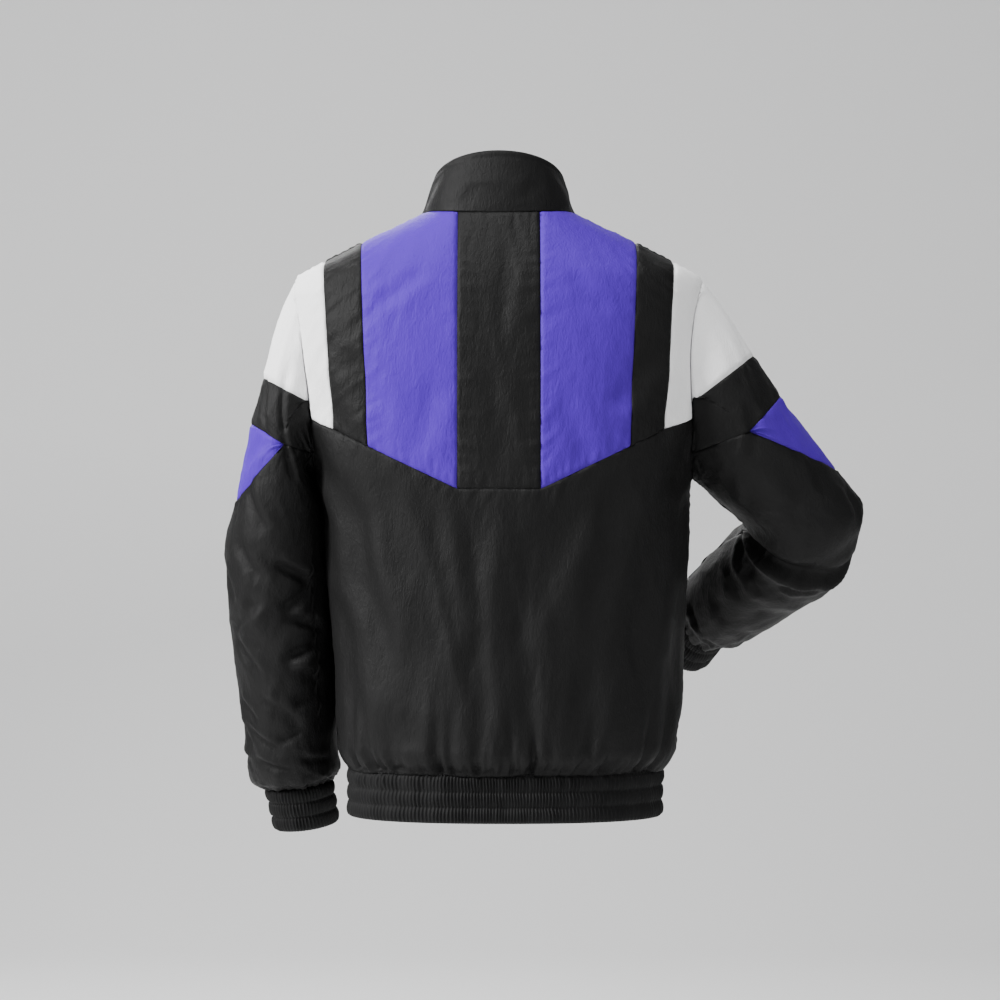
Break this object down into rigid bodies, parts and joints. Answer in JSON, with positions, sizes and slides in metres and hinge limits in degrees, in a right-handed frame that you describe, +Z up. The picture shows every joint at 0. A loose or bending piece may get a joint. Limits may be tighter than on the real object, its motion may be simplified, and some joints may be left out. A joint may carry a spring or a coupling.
{
  "type": "windbreaker jacket",
  "caption": "Zipped windbreaker jacket in black nylon with purple back and front stripes, white shoulders, a stand collar and elastic hem and cuffs, in worn shape.",
  "frame": {"origin": "centre of the neck opening, level with the collar seam at the back", "axes": "+Z up along the standing wearer, -Y out of the zipped front, +X to the wearer's left"},
  "size_m": [0.7473, 0.3674, 0.7945],
  "materials": {
    "black_nylon": "satin",
    "purple_nylon": "satin",
    "white_nylon": "satin",
    "ribbed_elastic": "matte",
    "zip_tape": "matte",
    "zip_metal": "satin"
  },
  "bodies": {
    "jacket": {"back_centre": "black_nylon", "back_lower": "black_nylon", "collar": "black_nylon", "hem_band": "ribbed_elastic", "zip_slider": "zip_metal", "back_stripe_left": "purple_nylon", "back_side_left": "black_nylon", "back_shoulder_left": "white_nylon", "front_stripe_left": "purple_nylon", "front_side_left": "black_nylon", "front_shoulder_left": "white_nylon", "front_centre_left": "black_nylon", "front_lower_left": "black_nylon", "sleeve_cap_left": "white_nylon", "sleeve_band_left": "black_nylon", "sleeve_lower_left": "black_nylon", "sleeve_kite_left": "purple_nylon", "cuff_left": "ribbed_elastic", "zip_tape_left": "zip_tape", "back_stripe_right": "purple_nylon", "back_side_right": "black_nylon", "back_shoulder_right": "white_nylon", "front_stripe_right": "purple_nylon", "front_side_right": "black_nylon", "front_shoulder_right": "white_nylon", "front_centre_right": "black_nylon", "front_lower_right": "black_nylon", "sleeve_cap_right": "white_nylon", "sleeve_band_right": "black_nylon", "sleeve_lower_right": "black_nylon", "sleeve_kite_right": "purple_nylon", "cuff_right": "ribbed_elastic", "zip_tape_right": "zip_tape"},
    "pull_tab": {"zip_pull_tab": "zip_metal"}
  },
  "joints": [
    {"name": "pull_tab_swing", "type": "hinge", "parent": "jacket", "child": "pull_tab", "pos_m": [0, -0.0983, 0.004], "axis": [-1, 0, 0], "range_deg": [0, 160]}
  ]
}
